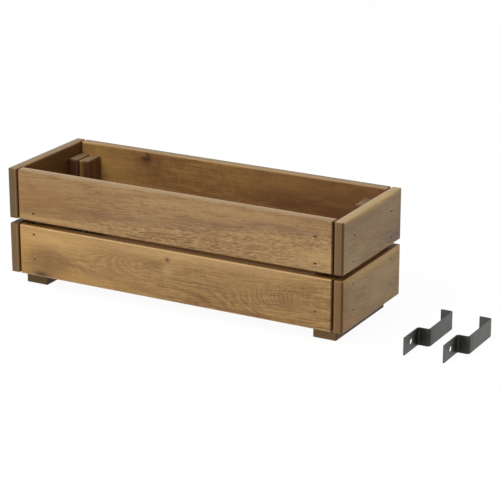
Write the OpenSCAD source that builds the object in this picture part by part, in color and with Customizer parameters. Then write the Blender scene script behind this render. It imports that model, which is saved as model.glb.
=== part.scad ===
// Wooden planter box: two tiers of boards nailed to corner posts, on a slatted
// floor with two runners, and a pair of bent steel hanging brackets beside it.
// X runs along the box, Y from front to back, Z up. The origin is on the
// ground, in the middle of the box and the brackets taken together.

/* [Walls] */
// Length of the box over its end boards
box_l = 600; // [440:1:900]
// Depth of the box over its long boards
box_d = 204; // [170:1:320]
// Height of one wall board
board_h = 84; // [64:1:120]
// Thickness of a wall board
board_t = 16; // [12:0.5:22]
// Open gap between the lower and the upper boards
board_gap = 8; // [3:0.5:16]
// Gap between the end panels and the long panels, at their boards and posts
end_gap = 2; // [0.5:0.5:4]
// Rounding of the boards' edges
board_round = 3; // [1:0.25:4]

/* [Corner posts] */
// Width of a post along the box
post_w = 19; // [16:1:30]
// Width of a post across the box
post_d = 39; // [30:1:56]
// How far the post tops lie below the top edge of the walls
post_drop = 20; // [4:1:36]
// Rounding of the posts' edges
post_round = 4; // [1:0.25:4]

/* [Floor] */
// Height of a runner, which lifts the box off the ground
runner_h = 20; // [14:1:36]
// Width of a runner along the box
runner_w = 40; // [34:1:56]
// Rounding of the runners' edges
runner_round = 2.5; // [0.5:0.25:3]
// Thickness of a floor slat
slat_t = 12; // [8:0.5:18]
// Gap between two floor slats, where water drains
slat_gap = 7; // [3:0.5:16]
// Rounding of the slats' edges
slat_round = 1; // [0.5:0.25:2]
// Clearance between the floor and each long wall
floor_side_clear = 1; // [0.5:0.25:3]
// Clearance between the floor and each end wall
floor_end_clear = 2; // [0.5:0.25:4]

/* [Nails] */
// Radius of a nail's shank
nail_r = 0.8; // [0.5:0.05:1.1]
// Radius of a nail's head
nail_head_r = 1.25; // [1.2:0.05:2]
// Thickness of a nail's head
nail_head_t = 1; // [0.5:0.1:2]
// How far a nail's head is sunk below the wood
nail_sink = 0.6; // [0.2:0.1:1.5]
// Length of the nails in the walls
wall_nail_l = 30; // [24:1:33]
// Length of the nails in the floor
floor_nail_l = 25; // [16:1:28]
// Height of the lowest nails above the foot of the posts
nail_foot_inset = 17; // [10:1:26]
// Distance of the middle nails from the gap between the boards
nail_gap_inset = 13.5; // [8:0.5:24]
// Distance of the top nails below the top of the posts
nail_top_inset = 8.5; // [7:0.5:20]
// Distance of the end wall nails from the inside of the long walls
end_nail_inset = 20; // [12:1:26]

/* [Screws] */
// Radius of a screw's shank
screw_r = 2; // [1.5:0.1:2.5]
// Radius of a screw's countersunk head
screw_head_r = 4; // [3.5:0.1:5]
// Length of the screws that join two posts
post_screw_l = 34; // [26:1:35]
// Length of the screws that hold a runner to the posts
runner_screw_l = 48; // [36:1:60]
// How far the runner screws are sunk below the runner
runner_screw_sink = 4; // [1:0.5:8]

/* [Hanging brackets] */
// Width of the steel strip, which stands on its edge
strip_w = 28; // [20:1:40]
// Thickness of the steel strip
strip_t = 2; // [1.5:0.25:3]
// Inside radius of the bends
bend_r = 3; // [1:0.25:4]
// Length of the flange that is screwed to a wall
flange_l = 50; // [36:1:80]
// Radius of the screw hole in the flange
bracket_hole_r = 5; // [2:0.25:6]
// Room to spare in the height of the board that the bracket holds
hook_play = 1.5; // [0.5:0.5:4]
// Room to spare behind the board that the bracket holds
hook_depth_play = 2.5; // [0.5:0.5:4]
// Distance from the end of the box to the nearer bracket
bracket_distance = 94; // [20:1:200]
// Spacing of the two brackets
bracket_spacing = 64; // [40:1:120]
// How far the brackets start behind the front of the box
bracket_setback = 14.5; // [0:0.5:40]

/* [Hidden] */
$fn = 48;

// Clearance between a nail or screw and its hole
pilot_clear = 0.05;
// Depth of a blind hole beyond the point of its nail or screw
hole_end_clear = 1;
// Length by which a cut runs past the face it starts from
cut_overrun = 1;

// The two tiers of boards
lower_z = runner_h;
upper_z = lower_z + board_h + board_gap;
top_z = upper_z + board_h;
long_board_l = box_l - 2 * (board_t + end_gap);
long_board_y = (box_d - board_t) / 2;
end_board_x = (box_l - board_t) / 2;

// The inside of the walls
inner_x = box_l / 2 - board_t;
inner_y = box_d / 2 - board_t;

// The posts stand on the floor slats, two to a corner: one is nailed to the
// end boards, and the other beside it, past the gap, to the long boards
post_foot_z = runner_h + slat_t;
post_top_z = top_z - post_drop;
end_post_x = inner_x - post_w / 2;
panel_post_x = inner_x - end_gap - 1.5 * post_w;
post_y = inner_y - post_d / 2;

// The floor panel
floor_l = 2 * (inner_x - floor_end_clear);
floor_w = 2 * (inner_y - floor_side_clear);
slat_w = (floor_w - 2 * slat_gap) / 3;
slat_pitch = slat_w + slat_gap;
runner_x = (floor_l - runner_w) / 2;

// Places of the nails and screws
lower_nail_heights = [post_foot_z + nail_foot_inset, lower_z + board_h - nail_gap_inset];
upper_nail_heights = [upper_z + nail_gap_inset, post_top_z - nail_top_inset];
end_nail_y = inner_y - end_nail_inset;
floor_nail_x = runner_x + runner_w / 4;
floor_nail_pitch_share = 0.54;
floor_nail_dy = slat_w * floor_nail_pitch_share / 2;
nail_point_l = 2 * nail_r;
post_screw_y = post_y - post_d / 4;
post_screw_height_shares = [0.3, 0.75];
post_screw_heights = [for (s = post_screw_height_shares) post_foot_z + s * (post_top_z - post_foot_z)];
screw_point_l = 3 * screw_r;
screw_head_h = screw_head_r - screw_r;
recess_l = 1.2 * screw_head_r;
recess_w = screw_r / 2;
recess_d = 0.8 * screw_head_h;

// The bracket's hook goes round one board of the box
hook_depth = board_t + hook_depth_play;
hook_l = board_h + hook_play;
bend_outer_r = bend_r + strip_t;
return_leg_y = flange_l + strip_t + hook_l;

// The box and the brackets lie side by side, with the origin midway
brackets_reach = bracket_distance + bracket_spacing + hook_depth + strip_t;
box_x = -brackets_reach / 2;
first_bracket_x = box_x + box_l / 2 + bracket_distance;
bracket_y = bracket_setback - box_d / 2;

// A rectangle with round corners, centred: a cross with a disc in each corner
module rounded_rectangle(a, b, r) {
    x = a / 2;
    y = b / 2;
    u = x - r;
    v = y - r;
    polygon([
        [-x, -v], [-u, -v], [-u, -y], [u, -y], [u, -v], [x, -v],
        [x, v], [u, v], [u, y], [-u, y], [-u, v], [-x, v]
    ]);
    for (sx = [-1, 1], sy = [-1, 1])
        translate([sx * u, sy * v])
            circle(r);
}

// A centred block with all its edges rounded: what three crossed bars share
module rounded_block(x, y, z, r) {
    intersection() {
        linear_extrude(z + 2 * cut_overrun, center = true)
            rounded_rectangle(x, y, r);
        rotate([90, 0, 0])
            linear_extrude(y + 2 * cut_overrun, center = true)
                rounded_rectangle(x, z, r);
        rotate([90, 0, 90])
            linear_extrude(x + 2 * cut_overrun, center = true)
                rounded_rectangle(y, z, r);
    }
}

// A nail driven down from the origin, with its head sunk below it
module nail(l) {
    translate([0, 0, -nail_sink])
        rotate_extrude()
            polygon([
                [0, 0],
                [nail_head_r, 0],
                [nail_head_r, -nail_head_t],
                [nail_r, -nail_head_t],
                [nail_r, -l + nail_point_l],
                [0, -l]
            ]);
}

// The hole that a nail makes in the pieces it goes through
module nail_hole(l) {
    depth = nail_sink + l + hole_end_clear;
    mouth = nail_sink + nail_head_t + pilot_clear;
    translate([0, 0, -depth])
        cylinder(h = depth, r = nail_r + pilot_clear);
    translate([0, 0, -mouth])
        cylinder(h = mouth + cut_overrun, r = nail_head_r + pilot_clear);
}

// A countersunk screw with a cross recess, driven down from the origin
module screw(l) {
    difference() {
        rotate_extrude()
            polygon([
                [0, 0],
                [screw_head_r, 0],
                [screw_r, -screw_head_h],
                [screw_r, -l + screw_point_l],
                [0, -l]
            ]);
        for (a = [0, 90])
            rotate(a)
                translate([-recess_l / 2, -recess_w / 2, -recess_d])
                    cube([recess_l, recess_w, recess_d + cut_overrun]);
    }
}

// The hole for that screw, open above its head by the length given
module screw_hole(l, above) {
    depth = l + hole_end_clear;
    translate([0, 0, -depth])
        cylinder(h = depth, r = screw_r + pilot_clear);
    rotate_extrude()
        polygon([
            [0, above + cut_overrun],
            [screw_head_r + pilot_clear, above + cut_overrun],
            [screw_head_r + pilot_clear, 0],
            [screw_r + pilot_clear, -screw_head_h],
            [0, -screw_head_h]
        ]);
}

// Puts its children on the outer face of a long wall, at each nail; -1 is the
// front wall and 1 the back wall
module at_long_wall_nails(side, heights, ends) {
    for (end = ends, z = heights)
        translate([box_x + end * panel_post_x, side * box_d / 2, z])
            rotate([-side * 90, 0, 0])
                children();
}

// Puts its children on the outer face of an end wall, at each nail; -1 is the
// left end and 1 the right end
module at_end_wall_nails(end, heights, sides) {
    for (side = sides, z = heights)
        translate([box_x + end * box_l / 2, side * end_nail_y, z])
            rotate([0, end * 90, 0])
                children();
}

// Puts its children at the screws that join the two posts of a corner
module at_post_screws(end, side) {
    for (z = post_screw_heights)
        translate([box_x + end * (panel_post_x - post_w / 2), side * post_screw_y, z])
            rotate([0, -end * 90, 0])
                children();
}

// Puts its children at the screw that comes up through a runner into a post
module at_runner_screws(end, sides) {
    for (side = sides)
        translate([box_x + end * panel_post_x, side * post_y, runner_screw_sink])
            rotate([180, 0, 0])
                children();
}

// Puts its children on top of the floor slats, at each nail
module at_floor_nails(ends, slats) {
    for (end = ends, s = slats, dy = [-floor_nail_dy, floor_nail_dy])
        translate([box_x + end * floor_nail_x, s * slat_pitch + dy, post_foot_z])
            children();
}

// A board of the front or back wall, nailed to the two panel posts behind it
module long_board(side, z, heights) {
    difference() {
        translate([box_x, side * long_board_y, z + board_h / 2])
            rounded_block(long_board_l, board_t, board_h, board_round);
        at_long_wall_nails(side, heights, [-1, 1])
            nail_hole(wall_nail_l);
    }
}

// A board of an end wall, which covers the ends of the long boards
module end_board(end, z, heights) {
    difference() {
        translate([box_x + end * end_board_x, 0, z + board_h / 2])
            rounded_block(board_t, box_d, board_h, board_round);
        at_end_wall_nails(end, heights, [-1, 1])
            nail_hole(wall_nail_l);
    }
}

// A plain post, at the distance given from the middle of the box
module post_block(x, side) {
    post_h = post_top_z - post_foot_z;
    translate([box_x + x, side * post_y, post_foot_z + post_h / 2])
        rounded_block(post_w, post_d, post_h, post_round);
}

// The post that carries the ends of the long boards in one corner
module panel_post(end, side) {
    difference() {
        post_block(end * panel_post_x, side);
        at_long_wall_nails(side, concat(lower_nail_heights, upper_nail_heights), [end])
            nail_hole(wall_nail_l);
        at_post_screws(end, side)
            screw_hole(post_screw_l, 0);
        at_runner_screws(end, [side])
            screw_hole(runner_screw_l, runner_screw_sink);
    }
}

// The post that carries the end boards in one corner
module end_post(end, side) {
    difference() {
        post_block(end * end_post_x, side);
        at_end_wall_nails(end, concat(lower_nail_heights, upper_nail_heights), [side])
            nail_hole(wall_nail_l);
        at_post_screws(end, side)
            screw_hole(post_screw_l, 0);
    }
}

// A batten under the floor that the box stands on
module runner(end) {
    difference() {
        translate([box_x + end * runner_x, 0, runner_h / 2])
            rounded_block(runner_w, floor_w, runner_h, runner_round);
        at_runner_screws(end, [-1, 1])
            screw_hole(runner_screw_l, runner_screw_sink);
        at_floor_nails([end], [-1, 0, 1])
            nail_hole(floor_nail_l);
    }
}

// A slat of the floor, nailed down on both runners; -1 is the front slat, 0
// the middle one and 1 the back one
module floor_slat(place) {
    difference() {
        translate([box_x, place * slat_pitch, runner_h + slat_t / 2])
            rounded_block(floor_l, slat_w, slat_t, slat_round);
        at_floor_nails([-1, 1], [place])
            nail_hole(floor_nail_l);
        if (place != 0)
            for (end = [-1, 1])
                at_runner_screws(end, [place])
                    screw_hole(runner_screw_l, runner_screw_sink);
    }
}

// A quarter of the bend between two straight lengths of strip
module strip_bend(centre, turn) {
    translate(centre)
        intersection() {
            difference() {
                circle(bend_outer_r);
                circle(bend_r);
            }
            rotate(turn)
                square(bend_outer_r);
        }
}

// The bracket's path seen from above: flange, leg, hook and return leg
module bracket_outline() {
    leg_start = strip_t + bend_r;
    leg_end = hook_depth - bend_r;
    hook_start = flange_l + bend_outer_r;
    hook_end = return_leg_y - bend_r;
    square([strip_t, flange_l - bend_r]);
    strip_bend([leg_start, flange_l - bend_r], 90);
    translate([leg_start, flange_l])
        square([leg_end - leg_start, strip_t]);
    strip_bend([leg_end, hook_start], 270);
    translate([hook_depth, hook_start])
        square([strip_t, hook_end - hook_start]);
    strip_bend([leg_end, hook_end], 0);
    translate([0, return_leg_y])
        square([leg_end, strip_t]);
}

// One bent steel strip, standing on its edge on the ground
module hanging_bracket(place) {
    translate([first_bracket_x + place * bracket_spacing, bracket_y, 0])
        difference() {
            linear_extrude(strip_w)
                bracket_outline();
            translate([-cut_overrun, flange_l / 2, strip_w / 2])
                rotate([0, 90, 0])
                    cylinder(h = strip_t + 2 * cut_overrun, r = bracket_hole_r);
        }
}

module front_upper_board() {
    color([0.58, 0.42, 0.25])
        long_board(-1, upper_z, upper_nail_heights);
}

module front_lower_board() {
    color([0.64, 0.48, 0.29])
        long_board(-1, lower_z, lower_nail_heights);
}

module back_upper_board() {
    color([0.52, 0.34, 0.19])
        long_board(1, upper_z, upper_nail_heights);
}

module back_lower_board() {
    color([0.48, 0.32, 0.18])
        long_board(1, lower_z, lower_nail_heights);
}

module left_upper_end_board() {
    color([0.42, 0.27, 0.16])
        end_board(-1, upper_z, upper_nail_heights);
}

module left_lower_end_board() {
    color([0.45, 0.3, 0.18])
        end_board(-1, lower_z, lower_nail_heights);
}

module right_upper_end_board() {
    color([0.52, 0.42, 0.3])
        end_board(1, upper_z, upper_nail_heights);
}

module right_lower_end_board() {
    color([0.48, 0.38, 0.26])
        end_board(1, lower_z, lower_nail_heights);
}

module front_left_panel_post() {
    color([0.5, 0.4, 0.28])
        panel_post(-1, -1);
}

module front_right_panel_post() {
    color([0.5, 0.4, 0.28])
        panel_post(1, -1);
}

module back_left_panel_post() {
    color([0.5, 0.4, 0.28])
        panel_post(-1, 1);
}

module back_right_panel_post() {
    color([0.5, 0.4, 0.28])
        panel_post(1, 1);
}

module front_left_end_post() {
    color([0.46, 0.36, 0.25])
        end_post(-1, -1);
}

module front_right_end_post() {
    color([0.46, 0.36, 0.25])
        end_post(1, -1);
}

module back_left_end_post() {
    color([0.46, 0.36, 0.25])
        end_post(-1, 1);
}

module back_right_end_post() {
    color([0.46, 0.36, 0.25])
        end_post(1, 1);
}

module left_runner() {
    color([0.34, 0.23, 0.13])
        runner(-1);
}

module right_runner() {
    color([0.34, 0.23, 0.13])
        runner(1);
}

module front_floor_slat() {
    color([0.5, 0.36, 0.22])
        floor_slat(-1);
}

module middle_floor_slat() {
    color([0.52, 0.38, 0.23])
        floor_slat(0);
}

module back_floor_slat() {
    color([0.49, 0.34, 0.2])
        floor_slat(1);
}

module front_board_nails() {
    color([0.2, 0.17, 0.14])
        at_long_wall_nails(-1, concat(lower_nail_heights, upper_nail_heights), [-1, 1])
            nail(wall_nail_l);
}

module back_board_nails() {
    color([0.2, 0.17, 0.14])
        at_long_wall_nails(1, concat(lower_nail_heights, upper_nail_heights), [-1, 1])
            nail(wall_nail_l);
}

module left_end_nails() {
    color([0.2, 0.17, 0.14])
        at_end_wall_nails(-1, concat(lower_nail_heights, upper_nail_heights), [-1, 1])
            nail(wall_nail_l);
}

module right_end_nails() {
    color([0.2, 0.17, 0.14])
        at_end_wall_nails(1, concat(lower_nail_heights, upper_nail_heights), [-1, 1])
            nail(wall_nail_l);
}

module floor_nails() {
    color([0.2, 0.17, 0.14])
        at_floor_nails([-1, 1], [-1, 0, 1])
            nail(floor_nail_l);
}

module post_screws() {
    color([0.6, 0.6, 0.58])
        for (end = [-1, 1], side = [-1, 1])
            at_post_screws(end, side)
                screw(post_screw_l);
}

module runner_screws() {
    color([0.6, 0.6, 0.58])
        for (end = [-1, 1])
            at_runner_screws(end, [-1, 1])
                screw(runner_screw_l);
}

module left_hanging_bracket() {
    color([0.3, 0.3, 0.29])
        hanging_bracket(0);
}

module right_hanging_bracket() {
    color([0.3, 0.3, 0.29])
        hanging_bracket(1);
}

front_upper_board();
front_lower_board();
back_upper_board();
back_lower_board();
left_upper_end_board();
left_lower_end_board();
right_upper_end_board();
right_lower_end_board();
front_left_panel_post();
front_right_panel_post();
back_left_panel_post();
back_right_panel_post();
front_left_end_post();
front_right_end_post();
back_left_end_post();
back_right_end_post();
left_runner();
right_runner();
front_floor_slat();
middle_floor_slat();
back_floor_slat();
front_board_nails();
back_board_nails();
left_end_nails();
right_end_nails();
floor_nails();
post_screws();
runner_screws();
left_hanging_bracket();
right_hanging_bracket();
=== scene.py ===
import math

import bmesh
import bpy
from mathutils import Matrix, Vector


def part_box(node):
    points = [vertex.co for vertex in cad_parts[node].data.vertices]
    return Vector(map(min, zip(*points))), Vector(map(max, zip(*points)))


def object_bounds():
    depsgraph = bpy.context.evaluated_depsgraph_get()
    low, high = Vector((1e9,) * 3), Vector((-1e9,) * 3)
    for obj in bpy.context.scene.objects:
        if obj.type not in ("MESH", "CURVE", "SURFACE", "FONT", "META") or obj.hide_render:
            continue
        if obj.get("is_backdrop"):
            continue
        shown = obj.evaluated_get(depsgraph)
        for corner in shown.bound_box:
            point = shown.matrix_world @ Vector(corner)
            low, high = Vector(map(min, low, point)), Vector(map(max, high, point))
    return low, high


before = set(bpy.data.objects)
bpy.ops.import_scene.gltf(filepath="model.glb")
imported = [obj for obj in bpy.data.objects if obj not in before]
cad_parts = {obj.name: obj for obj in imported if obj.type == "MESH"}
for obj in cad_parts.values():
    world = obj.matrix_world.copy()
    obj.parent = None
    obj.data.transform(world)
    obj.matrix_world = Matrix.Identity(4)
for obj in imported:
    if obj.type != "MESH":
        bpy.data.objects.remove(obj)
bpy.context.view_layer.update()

# Camera. The photograph is taken from the front right and a little above, with a long
# lens that looks at a point low inside the box.
camera_target = Vector((-0.01679, 0.02655, 0.07905))
camera_distance = 3.2664
camera_turn = 28.70
camera_tilt = 18.73
camera_lens = 147.87
sensor_width = 36


def aim(thing, turn, tilt, distance):
    """Stands a camera or lamp that far off the box and points it there.

    Turn is counted from the front and tilt from the ground, both in degrees.
    """
    turn = math.radians(turn)
    tilt = math.radians(tilt)
    level = math.cos(tilt)
    away = Vector((math.sin(turn) * level, -math.cos(turn) * level, math.sin(tilt)))
    thing.location = camera_target + distance * away
    thing.rotation_euler = (-away).to_track_quat("-Z", "Y").to_euler()
    bpy.context.scene.collection.objects.link(thing)


camera_data = bpy.data.cameras.new("camera")
camera_data.lens = camera_lens
camera_data.sensor_width = sensor_width
camera = bpy.data.objects.new("camera", camera_data)
aim(camera, camera_turn, camera_tilt, camera_distance)
bpy.context.scene.camera = camera

# Floor and sky. A plain white sweep: the camera sees the floor white, with the box's own
# soft shadow left on it, and the sky round it is white too. Steel mirrors the same white.
floor_reach = 6
floor_drop = 0.0002
floor_white = (236, 236, 236)
floor_glow = 1.03
floor_glow_share = 0.92
sky_strength = 0.60
sky_white = (1, 1, 1, 1)


class Wire:
    """One socket of a material. Sums on it add Math nodes, and node() adds any other node."""

    def __init__(self, tree, socket=None):
        self.tree = tree
        self.socket = socket

    def node(self, kind, settings, sockets, out=0):
        """A new node, with its settings, and with a value or a wire for each socket named."""
        made = self.tree.nodes.new(kind)
        for name, setting in settings.items():
            setattr(made, name, setting)
        for key, value in sockets.items():
            if isinstance(value, Wire):
                self.tree.links.new(value.socket, made.inputs[key])
            else:
                made.inputs[key].default_value = value
        return Wire(self.tree, made.outputs[out] if made.outputs else None)

    def other(self, out):
        """Another output of the node that this socket belongs to."""
        return Wire(self.tree, self.socket.node.outputs[out])

    def maths(self, operation, *values):
        """A Math node on this value, and on a second one where the sum takes two."""
        sockets = dict(enumerate((self, *values)))
        return self.node("ShaderNodeMath", {"operation": operation}, sockets)

    def __add__(self, other):
        return self.maths("ADD", other)

    def __sub__(self, other):
        return self.maths("SUBTRACT", other)

    def __mul__(self, other):
        return self.maths("MULTIPLY", other)

    def __truediv__(self, other):
        return self.maths("DIVIDE", other)

    def __pow__(self, other):
        return self.maths("POWER", other)

    def __abs__(self):
        return self.maths("ABSOLUTE")

    def swapped(self, operation, other):
        """A Math node on a plain number and then this value."""
        return self.node("ShaderNodeMath", {"operation": operation}, {0: other, 1: self})

    def __rsub__(self, other):
        return self.swapped("SUBTRACT", other)

    def __rtruediv__(self, other):
        return self.swapped("DIVIDE", other)

    def __rpow__(self, other):
        return self.swapped("POWER", other)

    __radd__ = __add__
    __rmul__ = __mul__

    def rise(self, start, end):
        """0 up to start, 1 from end on, and a soft step between them.

        With the end below the start it falls instead, from 1 below to 0 above.
        """
        settings = {"interpolation_type": "SMOOTHSTEP"}
        return self.node("ShaderNodeMapRange", settings, {0: self, 1: start, 2: end})

    def blend(self, first, second, way="MIX"):
        """Colour first where this value is 0, and second where it is 1.

        A Mix node takes its colours at sockets 6 and 7 and gives the result at output 2.
        """
        settings = {"data_type": "RGBA", "blend_type": way}
        return self.node("ShaderNodeMix", settings, {0: self, 6: first, 7: second}, 2)

    def noise(self, size, seed, detail=2.0, roughness=0.5):
        """Noise from 0 to 1 on this place, in lumps of that size along each of its axes.

        The seed moves it, so that no two pieces are alike.
        """
        scale = [1 / length for length in size]
        sockets = {"Vector": self, "Location": (seed, 3.7 * seed, 7.3 * seed), "Scale": scale}
        moved = self.node("ShaderNodeMapping", {}, sockets)
        sockets = {"Vector": moved, "Scale": 1.0, "Detail": detail, "Roughness": roughness}
        return self.node("ShaderNodeTexNoise", {}, sockets)

    def swing(self, reach):
        """A noise from 0 to 1 turned into one that goes that far to both sides of 0."""
        return (self - 0.5) * (2 * reach)


def tone(levels, share=1.0):
    """A colour as it is mixed by eye, 0 to 255, turned into the renderer's linear one.

    A share over 1 makes it paler, and one under 1 darker.
    """
    curved = [((share * level / 255 + 0.055) / 1.055) ** 2.4 for level in levels]
    return (*curved, 1)


def blank(owner):
    """An empty node tree for a material or the sky, as a wire to build on."""
    owner.use_nodes = True
    owner.node_tree.nodes.clear()
    return Wire(owner.node_tree)


def background_rays(start):
    """1 for the rays that are shown the white background: the camera's and mirrored ones."""
    seen = start.node("ShaderNodeLightPath", {}, {})
    shown = seen.maths("MAXIMUM", seen.other("Is Glossy Ray"))
    return shown.maths("MAXIMUM", seen.other("Is Transmission Ray"))


floor_mesh = bpy.data.meshes.new("floor")
floor_shape = bmesh.new()
bmesh.ops.create_grid(floor_shape, x_segments=1, y_segments=1, size=floor_reach)
bmesh.ops.translate(floor_shape, verts=floor_shape.verts, vec=(0, 0, -floor_drop))
floor_shape.to_mesh(floor_mesh)
floor_shape.free()
floor = bpy.data.objects.new("floor", floor_mesh)
bpy.context.scene.collection.objects.link(floor)
floor_paint = bpy.data.materials.new("floor_paint")
start = blank(floor_paint)
glowing = background_rays(start) * floor_glow_share
matt = start.node("ShaderNodeBsdfDiffuse", {}, {"Color": tone(floor_white)})
glow = start.node("ShaderNodeEmission", {}, {"Strength": floor_glow})
floor_look = start.node("ShaderNodeMixShader", {}, {0: glowing, 1: matt, 2: glow})
start.node("ShaderNodeOutputMaterial", {}, {0: floor_look})
floor_mesh.materials.append(floor_paint)
floor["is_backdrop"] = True

sky = bpy.data.worlds.new("sky")
start = blank(sky)
shown = background_rays(start)
lit = start.node("ShaderNodeBackground", {}, {"Color": sky_white, "Strength": sky_strength})
bright = start.node("ShaderNodeBackground", {}, {"Color": sky_white, "Strength": 1.0})
sky_look = start.node("ShaderNodeMixShader", {}, {0: shown, 1: lit, 2: bright})
start.node("ShaderNodeOutputWorld", {}, {0: sky_look})
bpy.context.scene.world = sky

# Lamp. One large soft lamp stands high at the front left, as in a studio, so that the
# front is the brightest side and the right end is a little darker.
lamp_turn = -22
lamp_tilt = 50
lamp_distance = 2.6
lamp_size = 1.4
lamp_power = 30

lamp_data = bpy.data.lights.new("lamp", "AREA")
lamp_data.energy = lamp_power
lamp_data.size = lamp_size
aim(bpy.data.objects.new("lamp", lamp_data), lamp_turn, lamp_tilt, lamp_distance)

bpy.context.scene.view_settings.view_transform = "Standard"

# Front wall. Two planed boards of oiled hardwood, one above the other, with eased edges
# and a gap between them. Each is nailed to the two panel posts behind it.
edge_round = 0.003
nail_head = 0.00125

# The wood's surface: how rough it is, what fibres and pores add to that, how strongly it
# shines, how high its relief is, and the share that each feature has in the relief
wood_roughness = 0.52
fibre_roughness = 0.125
pore_roughness = 0.15
wood_shine = 0.25
wood_relief = 0.00012
relief_strength = 0.6
fibre_relief = 0.6
ring_relief = 0.15
pore_relief = 0.7

# The figure of the wood: how long, wide and thick its features are, the drift of the
# whole grain, and the rings' own shiver, as a share of a ring
drift_size = (0.150, 0.060, 0.060)
shiver_size = (0.034, 0.009, 0.009)
cloud_size = (0.090, 0.035, 0.035)
blotch_size = (0.030, 0.012, 0.012)
flame_size = (0.0035, 0.018, 0.018)
fibre_size = (0.050, 0.0024, 0.0024)
pore_size = (0.013, 0.0014, 0.0014)
curl_size = (0.011, 0.0022, 0.0022)
curl_wave_size = (0.014, 0.010, 0.010)
drift_reach = 0.006
curl_wave_reach = 0.004
ring_shiver = 0.55
bands_per_ring = 0.6
grain_bend = 0.3
pore_from = 0.56
pore_full = 0.70

# The depth of its tone, from 0 for the light one to 1 for the dark one: on average, and
# what single features add to it or keep of it
mean_depth = 0.46
blotch_share = 0.3
pore_share = 0.4
pore_darkness = 0.3
pore_tone = 0.7
clear_from = 0.40
clear_full = 0.60
faintest_rings = 0.3
rings_off_spots = 0.4
curl_paleness = 0.06

# Edges and ends: how deep their tones reach in, the painted highlight on eased corners and
# beside the grooves, painted shade on outer corners, where the grooves at the box's corners
# start, and the stain round a nail
edge_band_depth = 0.0012
edge_band_full = 0.0002
edge_share = 0.8
edge_pale = (1.17, 1.17, 1.17, 1)
edge_dark = (0.74, 0.74, 0.74, 1)
eased_highlight_tone = (222, 186, 136)
cut_share = 0.9
cut_rings = 0.6
cut_pale = 1.18
cut_dark = 0.80
inner_highlight_depth = (0.0048, 0.0030)
inner_highlight_share = 0.8
corner_shade = (0.40, 0.35, 0.25, 1)
groove_tone = (104, 68, 30)
groove_depth = (0.0018, 0.0008)
groove_width = (0.020, 0.016)
nail_tone = (66, 42, 27)
nail_stain = 0.0021
nail_stain_length = 1.8


def spot_at(along, across, spot):
    """1 in the middle of a soft oval spot on a board's face, falling to 0 around it."""
    spot_along, spot_across, long, wide = spot
    far = ((along - spot_along) / long) ** 2 + ((across - spot_across) / wide) ** 2
    return (far * -1).maths("EXPONENT")


def dress(node, finish):
    """Gives a piece of the frame its finish."""
    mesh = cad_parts[node].data
    for place in range(len(mesh.materials)):
        mesh.materials[place] = finish


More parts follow.
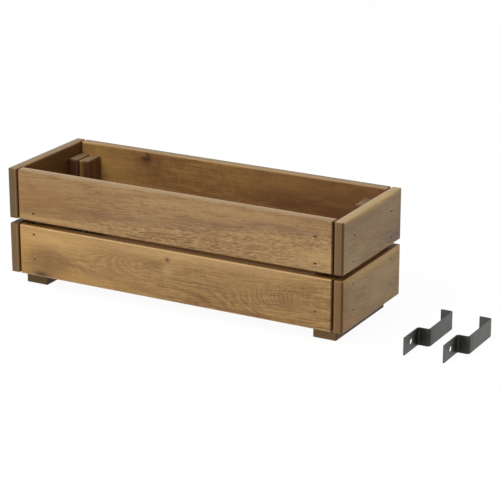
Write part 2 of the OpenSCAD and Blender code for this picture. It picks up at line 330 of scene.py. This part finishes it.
def oil_board(
    node,
    seed,
    light,
    dark,
    heart=(0.0, 0.05),
    slope=0.0,
    ring=0.0026,
    ring_depth=0.20,
    band_depth=0.28,
    fibre_depth=0.42,
    flame_depth=0.08,
    cloud_depth=0.30,
    swells=(),
    clear_spots=(),
    patches=(),
    curl=None,
    edge_tones=((174, 140, 96), (174, 140, 96)),
    eased_highlight_shares=(0.25, 0.25),
    sapwood=None,
    cut_tone=None,
    shaded_corner=0,
    groove_side=0,
    gap_side=0,
    gap_shade=(0.60, 0.47, 0.19, 1),
    nails=(),
):
    """Gives a board of the frame its wood, sawn from a log that lay along its longest side.

    Places and reaches are in metres from the board's middle: along it, across it and
    through it. Depths say how strongly a feature darkens the wood.
    - heart: where the middle of the log lies, across and through
    - slope: how the grain climbs; ring: how far apart the growth rings are
    - swells: along, across, two reaches and a lift, which closes the rings round the spot
    - clear_spots: along, across, two reaches and how much stronger the rings show there
    - patches: along, across, two reaches, a tone and its share
    - curl: below a line of this height and climb, over this spread, the grain turns short
      and wavy, this deep
    - edge_tones, eased_highlight_shares: of the long edges, at the one face and at the other;
      the tones are partly painted highlight, and the shares are of painted highlight on the
      eased corners
    - sapwood: where it starts and is full, through the board, and its tone
    - cut_tone: of the sawn ends
    - shaded_corner, groove_side, gap_side: 1 or -1 for the side that is meant; the shaded
      corner gets painted shade
    - gap_shade: what the painted shade in the gap leaves of the colour
    - nails: along, across and how dark each one's stain is
    """
    low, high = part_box(node)
    half = (high - low) / 2
    order = sorted(range(3), key=lambda axis: -half[axis])
    long_half, wide_half, thin_half = [half[axis] for axis in order]
    finish = bpy.data.materials.new(node + "_wood")
    start = blank(finish)

    place = start.node("ShaderNodeTexCoord", {}, {}, "Object")
    sockets = {0: place, 1: (low + high) / 2}
    centred = start.node("ShaderNodeVectorMath", {"operation": "SUBTRACT"}, sockets)
    split = start.node("ShaderNodeSeparateXYZ", {}, {0: centred})
    along, across, through = [split.other(axis) for axis in order]
    board = start.node("ShaderNodeCombineXYZ", {}, {0: along, 1: across, 2: through})
    drift = board.noise(drift_size, seed, 1.0).swing(drift_reach)
    level = across + drift - along * slope

    # Growth rings: fine lines, and bands of slow and fast years
    heart_across, heart_through = heart
    radius = ((level - heart_across) ** 2 + (through - heart_through) ** 2) ** 0.5
    radius = radius + board.noise(shiver_size, seed + 1, 3.0).swing(ring_shiver * ring)
    for *spot, lift in swells:
        radius = radius + spot_at(along, across, spot) * lift
    turns = radius / ring
    line = (turns * (2 * math.pi)).maths("SINE") * 0.5 + 0.5
    sockets = {"W": turns * bands_per_ring + seed, "Scale": 1.0, "Detail": 3.0}
    band = start.node("ShaderNodeTexNoise", {"noise_dimensions": "1D"}, sockets)

    # Fibres and pores follow the grain. Clouds, blotches and flames lie over it
    sockets = {0: along, 1: level + radius * grain_bend, 2: through}
    grain = start.node("ShaderNodeCombineXYZ", {}, sockets)
    fibre = grain.noise(fibre_size, seed + 2, 4.0, 0.68)
    pore = grain.noise(pore_size, seed + 3, 2.0)
    cloud = board.noise(cloud_size, seed + 5)
    blotch = board.noise(blotch_size, seed + 6)
    flame = board.noise(flame_size, seed + 8, 1.0)
    clear = (blotch * 0.5 + cloud * 0.5).rise(clear_from, clear_full)
    clear = clear * rings_off_spots if clear_spots else clear + faintest_rings
    for *spot, share in clear_spots:
        clear = clear + spot_at(along, across, spot) * share
    depth = line * clear * ring_depth + band.swing(band_depth) + flame.swing(flame_depth)
    depth = depth + fibre.swing(fibre_depth) + pore.swing(pore_share * fibre_depth)
    depth = depth + cloud.swing(cloud_depth) + blotch.swing(blotch_share * cloud_depth)
    depth = depth + mean_depth
    if curl:
        curl_level, climb, spread, curl_depth = curl
        wave = board.noise(curl_wave_size, seed + 7, 1.0).swing(curl_wave_reach)
        sockets = {0: along, 1: level + wave, 2: through}
        wavy = start.node("ShaderNodeCombineXYZ", {}, sockets)
        short = wavy.noise(curl_size, seed + 4, 5.0, 0.70).swing(curl_depth)
        zone = (level - along * climb).rise(curl_level + spread, curl_level - spread)
        depth = depth + (short - curl_paleness) * zone
    colour = depth.rise(0.0, 1.0).blend(tone(light), tone(dark))
    pore = pore.rise(pore_from, pore_full)
    colour = (pore * pore_darkness).blend(colour, tone(dark, pore_tone))

    # Patches wander with the grain, and the blotches break up their outlines
    for *spot, paint, share in patches:
        marking = spot_at(along + drift * 2, across + drift, spot) * (blotch + 0.5)
        colour = (marking * share).blend(colour, tone(paint))
    if sapwood:
        pale_from, pale_at, paint = sapwood
        colour = through.rise(pale_from, pale_at).blend(colour, tone(paint))

    # Long edges are paler, partly in the wood and partly as painted highlight, and their
    # eased corners palest, with painted highlight on sanded wood. Shade is painted in gaps
    long_edge = abs(across).rise(wide_half - edge_band_depth, wide_half - edge_band_full)
    one, another = edge_tones
    paler = through.rise(-0.4 * thin_half, 0.4 * thin_half).blend(tone(one), tone(another))
    sockets = {0: paler, 1: fibre.blend(edge_pale, edge_dark)}
    paler = start.node("ShaderNodeVectorMath", {"operation": "MULTIPLY"}, sockets)
    colour = (long_edge * edge_share).blend(colour, paler)
    eased = abs(across).rise(wide_half - edge_round, wide_half - 0.3 * edge_round)
    for side, share in zip((-1, 1), eased_highlight_shares):
        corner = (through * side).rise(thin_half - edge_round, thin_half - 0.3 * edge_round)
        sanded_highlight = corner * eased * (blotch + 0.5) * share
        colour = sanded_highlight.blend(colour, tone(eased_highlight_tone))
    # Painted shade on the faces towards a gap, where little light gets in
    if gap_side:
        gap_shaded = (across * gap_side).rise(wide_half - edge_band_depth, wide_half - edge_band_full)
        gap_shaded = gap_shaded * abs(through).rise(thin_half, thin_half - edge_round)
        colour = gap_shaded.blend(colour, gap_shade, "MULTIPLY")

    # Cut ends show their rings, with a painted highlight beside the groove and painted
    # shade on the outer corner
    if cut_tone:
        cut_end = abs(along).rise(long_half - edge_band_depth, long_half - edge_band_full)
        pale = tone(cut_tone, cut_pale)
        end_grain = line * cut_rings + fibre * (1 - cut_rings)
        end_grain = end_grain.blend(pale, tone(cut_tone, cut_dark))
        colour = (cut_end * cut_share).blend(colour, end_grain)
        if groove_side:
            # Painted highlight: a pale line on the rounding beside the groove
            edge_from, edge_full = [thin_half - deep for deep in inner_highlight_depth]
            inner_highlight = (through * groove_side).rise(edge_from, edge_full) * cut_end
            colour = (inner_highlight * inner_highlight_share).blend(colour, pale)
    if shaded_corner:
        near_end = abs(along).rise(long_half - edge_round, long_half - 0.5 * edge_round)
        corner_from, corner_full = thin_half - 1.3 * edge_round, thin_half - 0.7 * edge_round
        corner = (through * shaded_corner).rise(corner_from, corner_full)
        colour = (corner * near_end).blend(colour, corner_shade, "MULTIPLY")
    if groove_side:
        groove_from, groove_full = [thin_half - deep for deep in groove_depth]
        facing = (through * groove_side).rise(groove_from, groove_full)
        groove_from, groove_full = [long_half - wide for wide in groove_width]
        facing = facing * abs(along).rise(groove_from, groove_full)
        colour = facing.blend(colour, tone(groove_tone))
    for nail_along, nail_across, share in nails:
        away = ((along - nail_along) / nail_stain_length) ** 2 + (across - nail_across) ** 2
        marking = (away ** 0.5).rise(nail_stain, 0.8 * nail_head)
        colour = (marking * share).blend(colour, tone(nail_tone))

    height = fibre * fibre_relief + line * ring_relief - pore * pore_relief
    sockets = {"Height": height, "Strength": relief_strength, "Distance": wood_relief}
    bump = start.node("ShaderNodeBump", {}, sockets)
    sockets = {
        "Base Color": colour,
        "Roughness": fibre.swing(fibre_roughness) + pore * pore_roughness + wood_roughness,
        "Normal": bump,
        "Specular IOR Level": wood_shine,
    }
    shader = start.node("ShaderNodeBsdfPrincipled", {}, sockets)
    start.node("ShaderNodeOutputMaterial", {}, {0: shader})
    dress(node, finish)


def nail_places(node, nails_node, axis, shares):
    """Where a group's nails meet a board, along and across it, and how dark each one shows."""
    low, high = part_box(node)
    middle = (low + high) / 2
    points = [vertex.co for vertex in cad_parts[nails_node].data.vertices]
    points = [point for point in points if low.z < point.z < high.z]
    ends = [point[axis] - middle[axis] for point in points]
    heights = [point.z - middle.z for point in points]
    corners = [
        (end, height)
        for height in (max(heights) - nail_head, min(heights) + nail_head)
        for end in (min(ends) + nail_head, max(ends) - nail_head)
    ]
    return [(*corner, share) for corner, share in zip(corners, shares)]


oil_board(
    "front_upper_board",
    seed=1.0,
    light=(182, 147, 99),
    dark=(122, 89, 60),
    heart=(0.14, 0.02),
    slope=0.06,
    ring=0.0036,
    ring_depth=0.12,
    band_depth=0.14,
    fibre_depth=0.36,
    cloud_depth=0.16,
    curl=(-0.007, 0.056, 0.008, 1.2),
    edge_tones=((166, 136, 98), (184, 156, 122)),
    eased_highlight_shares=(0.0, 0.5),
    cut_tone=groove_tone,
    shaded_corner=-1,
    patches=[
        (-0.24, -0.005, 0.10, 0.030, (142, 102, 54), 0.60),
        (-0.118, -0.011, 0.040, 0.006, (118, 82, 56), 0.45),
        (-0.02, -0.010, 0.10, 0.006, (124, 94, 72), 0.40),
        (0.10, 0.006, 0.06, 0.005, (124, 92, 70), 0.50),
        (0.21, 0.019, 0.06, 0.006, (122, 90, 72), 0.60),
        (0.14, 0.032, 0.09, 0.007, (184, 148, 98), 0.40),
        (0.26, -0.016, 0.05, 0.012, (196, 158, 106), 0.50),
        (-0.22, -0.035, 0.10, 0.004, (190, 150, 96), 0.60),
    ],
    gap_side=-1,
    nails=nail_places("front_upper_board", "front_board_nails", 0, (0.1, 0.9, 0.9, 0.9)),
)
oil_board(
    "front_lower_board",
    seed=2.0,
    light=(184, 147, 92),
    dark=(124, 90, 54),
    heart=(-0.030, 0.10),
    ring=0.0021,
    ring_depth=0.36,
    band_depth=0.10,
    fibre_depth=0.80,
    flame_depth=0.14,
    cloud_depth=0.16,
    eased_highlight_shares=(0.6, 0.3),
    cut_tone=groove_tone,
    shaded_corner=-1,
    swells=[
        (-0.232, -0.020, 0.042, 0.022, -0.018),
        (-0.015, 0.018, 0.105, 0.024, -0.022),
        (0.270, 0.016, 0.130, 0.056, -0.050),
    ],
    clear_spots=[
        (-0.222, -0.012, 0.040, 0.026, 0.8),
        (-0.100, 0.012, 0.056, 0.032, 1.2),
        (0.030, -0.022, 0.090, 0.014, 0.6),
        (0.150, 0.000, 0.060, 0.050, 0.25),
        (0.198, 0.014, 0.022, 0.024, 0.5),
    ],
    patches=[
        (0.020, 0.036, 0.240, 0.010, (200, 162, 112), 0.60),
        (-0.280, 0.004, 0.024, 0.040, (202, 156, 82), 0.50),
        (-0.220, 0.024, 0.080, 0.016, (202, 160, 100), 0.80),
        (-0.180, -0.034, 0.110, 0.014, (190, 148, 88), 0.60),
        (-0.080, 0.010, 0.080, 0.040, (186, 146, 94), 0.40),
        (-0.230, -0.020, 0.038, 0.019, (136, 100, 62), 0.85),
        (-0.243, -0.038, 0.015, 0.007, (70, 60, 42), 0.90),
        (-0.030, 0.014, 0.018, 0.010, (128, 96, 60), 0.50),
        (-0.004, 0.008, 0.009, 0.008, (190, 156, 112), 0.60),
        (-0.002, 0.027, 0.004, 0.0035, (84, 52, 44), 0.95),
        (0.222, -0.006, 0.045, 0.020, (126, 92, 64), 0.35),
        (0.110, -0.038, 0.090, 0.005, (124, 84, 50), 0.50),
        (0.120, 0.010, 0.060, 0.024, (160, 124, 80), 0.50),
    ],
    gap_side=1,
    nails=nail_places("front_lower_board", "front_board_nails", 0, (0.8, 0.0, 0.3, 0.3)),
)

# Back wall. The same two boards again, nailed on the back panel posts. The inner face of
# the upper one shows, with a knot near its left end and redder wood at its right.
back_boards = [
    # Name, light tone, dark tone, and the side that faces the gap
    ("back_lower_board", (150, 112, 64), (102, 70, 40), 1),
    ("back_upper_board", (184, 142, 80), (128, 90, 52), -1),
]
for number, (name, light, dark, gap_side) in enumerate(back_boards):
    oil_board(
        name,
        seed=3.0 + number,
        light=light,
        dark=dark,
        heart=(0.1, -0.06),
        band_depth=0.18,
        fibre_depth=0.48,
        flame_depth=0.24,
        edge_tones=((160, 134, 94), (136, 120, 94)),
        swells=[(-0.146, 0.022, 0.020, 0.012, -0.014)],
        patches=[
            (0.32, 0.0, 0.36, 0.2, (118, 78, 50), 0.8),
            (-0.22, 0.010, 0.05, 0.03, (192, 148, 84), 0.5),
            (-0.150, 0.020, 0.026, 0.016, (112, 74, 42), 0.8),
            (-0.143, 0.020, 0.006, 0.005, (150, 110, 62), 0.7),
            (-0.157, 0.027, 0.008, 0.005, (60, 38, 22), 0.8),
            (-0.151, 0.034, 0.003, 0.009, (70, 44, 26), 0.6),
            (0.140, -0.010, 0.080, 0.014, (100, 62, 32), 0.5),
            (0.110, 0.024, 0.120, 0.012, (160, 116, 68), 0.3),
        ],
        gap_side=gap_side,
        nails=nail_places(name, "back_board_nails", 0, (0.7, 0.7, 0.7, 0.7)),
    )

# End walls. Two short boards at each end, which cover the ends of the long walls and are
# nailed to the end posts. Their tones are darker and greyer than the front's. The left
# pair is painted dark as shade, for its inner face lies away from the lamp.
left_edges = ((144, 132, 108), (158, 128, 90))
right_edges = ((188, 160, 124), (182, 154, 102))
upper_patches = [
    (0.000, 0.040, 0.120, 0.005, (198, 160, 100), 0.6),
    (-0.030, 0.026, 0.060, 0.008, (134, 112, 74), 0.5),
    (0.000, -0.006, 0.060, 0.014, (164, 128, 88), 0.4),
    (-0.076, -0.030, 0.030, 0.012, (176, 150, 110), 0.5),
    (0.086, -0.030, 0.034, 0.014, (118, 98, 90), 0.7),
    # Painted shade down the far end, by its rounded back corner
    (0.100, 0.000, 0.010, 0.060, (118, 92, 74), 0.5),
]
lower_patches = [
    (0.000, 0.038, 0.130, 0.007, (200, 160, 98), 0.7),
    (-0.094, -0.006, 0.020, 0.050, (140, 100, 54), 0.6),
    (-0.050, -0.030, 0.050, 0.014, (160, 120, 72), 0.4),
    (0.010, -0.020, 0.036, 0.014, (176, 152, 106), 0.5),
    (0.046, 0.010, 0.050, 0.026, (184, 152, 112), 0.5),
]
end_boards = [
    # Name, light tone, dark tone, tone of the cut ends, and patches
    ("left_upper_end_board", (120, 80, 38), (78, 50, 24), (103, 84, 55), ()),
    ("left_lower_end_board", (138, 98, 50), (92, 62, 34), (117, 90, 60), ()),
    ("right_upper_end_board", (166, 138, 100), (126, 103, 73), (109, 84, 52), upper_patches),
    ("right_lower_end_board", (180, 147, 104), (132, 106, 72), (119, 88, 52), lower_patches),
]
for number, (name, light, dark, cut_tone, patches) in enumerate(end_boards):
    right = name.startswith("right")
    nails_node = "right_end_nails" if right else "left_end_nails"
    oil_board(
        name,
        seed=5.0 + number,
        light=light,
        dark=dark,
        heart=(0.02, 0.07),
        slope=-0.16 if right else 0.02,
        ring=0.0030,
        ring_depth=0.12,
        band_depth=0.16,
        fibre_depth=0.42,
        patches=patches,
        edge_tones=right_edges if right else left_edges,
        cut_tone=cut_tone,
        shaded_corner=1 if right else 0,
        groove_side=-1 if right else 1,
        gap_side=-1 if "upper" in name else 1,
        gap_shade=(0.43, 0.27, 0.11, 1),
        nails=nail_places(name, nails_node, 1, (0.8, 0.9, 0.7, 0.9)),
    )

# Corner posts. Short square-sawn lengths that stand on the floor, with their grain upright
# and well rounded tops. The two of a corner are screwed together. The left panel posts
# have sapwood on one side.
panel_edges = ((126, 88, 52), (84, 54, 32))
end_edges = ((84, 52, 34), (84, 52, 34))
sapwood_side = (-0.0015, -0.0055, (168, 128, 58))
posts = sorted(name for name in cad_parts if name.endswith("post"))
for number, name in enumerate(posts):
    panel = "panel" in name
    oil_board(
        name,
        seed=10.0 + number,
        light=(118, 80, 44) if panel else (104, 66, 42),
        dark=(66, 38, 22),
        heart=(0.004, 0.20),
        ring=0.0050,
        ring_depth=0.1,
        band_depth=0.3,
        fibre_depth=1.1,
        edge_tones=panel_edges if panel else end_edges,
        eased_highlight_shares=(0.0, 0.0),
        sapwood=sapwood_side if panel and "left" in name else None,
        cut_tone=(132, 110, 80),
    )

# Runners. Two battens under the floor, which the box stands on, darker than the walls.
# Each is screwed on from below, through the floor, into the two panel posts of its end.
runner_light = (88, 62, 36)
runner_dark = (56, 38, 22)
runners = [("left_runner", (104, 84, 52)), ("right_runner", (130, 100, 62))]
for number, (name, cut_tone) in enumerate(runners):
    oil_board(
        name,
        seed=20.0 + number,
        light=runner_light,
        dark=runner_dark,
        heart=(0.01, 0.04),
        edge_tones=(runner_light, runner_light),
        eased_highlight_shares=(0.0, 0.0),
        cut_tone=cut_tone,
    )

# Floor. Three slats of the same wood, nailed across the runners, with gaps between them
# that let the water drain.
slats = ("front_floor_slat", "middle_floor_slat", "back_floor_slat")
for number, name in enumerate(slats):
    oil_board(
        name,
        seed=24.0 + number,
        light=(164, 120, 70),
        dark=(118, 82, 46),
        heart=(0.02 - 0.02 * number, 0.06),
    )

# Nails and screws. Plain steel wire nails with a dark coat, and countersunk screws of
# bright steel. Two nail heads of the front wall are filled with wax, and two nearly so.
steel_cloud = 0.018
steel_pale = 1.12
steel_dark = 0.86
steel_relief = 0.00004
speck_roughness = 0.1
dark_edge_width = 0.0003
edge_shade = (0.3, 0.3, 0.3, 1)
wax_reach = 0.005
wax_filled = [
    # Place, reach and tone
    ((-0.3427, -0.102, 0.1675), wax_reach, (172, 134, 90)),
    ((0.1643, -0.102, 0.0905), wax_reach, (166, 132, 92)),
    ((-0.3427, -0.102, 0.0490), wax_reach, (96, 66, 42)),
    ((0.1643, -0.102, 0.0490), wax_reach, (96, 66, 46)),
]


def steel(
    name,
    paint,
    metal,
    rough,
    shine=0.5,
    speck_size=0.0006,
    spots=(),
    edge_height=None,
):
    """Coated or bare steel with a fine speckle.

    Each spot has a place, a reach and a tone. From the edge height up, painted shade
    makes the coat darker.
    """
    finish = bpy.data.materials.new(name)
    start = blank(finish)
    place = start.node("ShaderNodeTexCoord", {}, {}, "Object")
    speck = place.noise((speck_size,) * 3, 1.0, 3.0)
    cloud = place.noise((steel_cloud,) * 3, 2.0)
    depth = (speck * 0.4 + cloud * 0.6).rise(0.2, 0.8)
    colour = depth.blend(tone(paint, steel_pale), tone(paint, steel_dark))
    # Spots: wax in nail heads, and painted shade on the brackets
    for spot, reach, marking in spots:
        sockets = {0: place, 1: spot}
        away = start.node("ShaderNodeVectorMath", {"operation": "DISTANCE"}, sockets, 1)
        colour = away.rise(reach, 0.4 * reach).blend(colour, tone(marking))
    if edge_height:
        height = start.node("ShaderNodeSeparateXYZ", {}, {0: place}, 2)
        upper_edge = height.rise(edge_height - dark_edge_width, edge_height)
        colour = upper_edge.blend(colour, edge_shade, "MULTIPLY")
    sockets = {"Height": speck, "Strength": 0.5, "Distance": steel_relief}
    bump = start.node("ShaderNodeBump", {}, sockets)
    sockets = {
        "Base Color": colour,
        "Roughness": speck.swing(speck_roughness) + rough,
        "Metallic": metal,
        "Specular IOR Level": shine,
        "Normal": bump,
    }
    shader = start.node("ShaderNodeBsdfPrincipled", {}, sockets)
    start.node("ShaderNodeOutputMaterial", {}, {0: shader})
    return finish


nail_steel = steel(
    "nail_steel",
    paint=(70, 48, 32),
    metal=0.0,
    rough=0.8,
    shine=0.1,
    spots=wax_filled,
)
screw_steel = steel("screw_steel", paint=(170, 168, 160), metal=0.9, rough=0.3)
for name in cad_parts:
    if name.endswith("nails"):
        dress(name, nail_steel)
    if name.endswith("screws"):
        dress(name, screw_steel)

# Hanging brackets. Each is one steel strip, bent three times, coated dark grey. Its hook
# goes round a board of the box and its flange is screwed to a wall.
coat_tone = (86, 87, 81)
coat_roughness = 0.38
coat_shine = 0.28
# Painted shade darkens the coat round an inner bend
bend_shade_tone = (36, 37, 33)
bend_shade_place = (0.003, 0.052, 0.012)
bend_shade_reach = 0.031
edge_drop = 0.0001
for name in ("left_hanging_bracket", "right_hanging_bracket"):
    low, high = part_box(name)
    bend_shade_centre = low + Vector(bend_shade_place)
    coat = steel(
        name + "_coat",
        paint=coat_tone,
        metal=0.0,
        rough=coat_roughness,
        shine=coat_shine,
        speck_size=0.0004,
        spots=[(bend_shade_centre, bend_shade_reach, bend_shade_tone)],
        edge_height=high.z - edge_drop,
    )
    dress(name, coat)

# The bounds of the box as it is shown, without the floor
low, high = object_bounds()
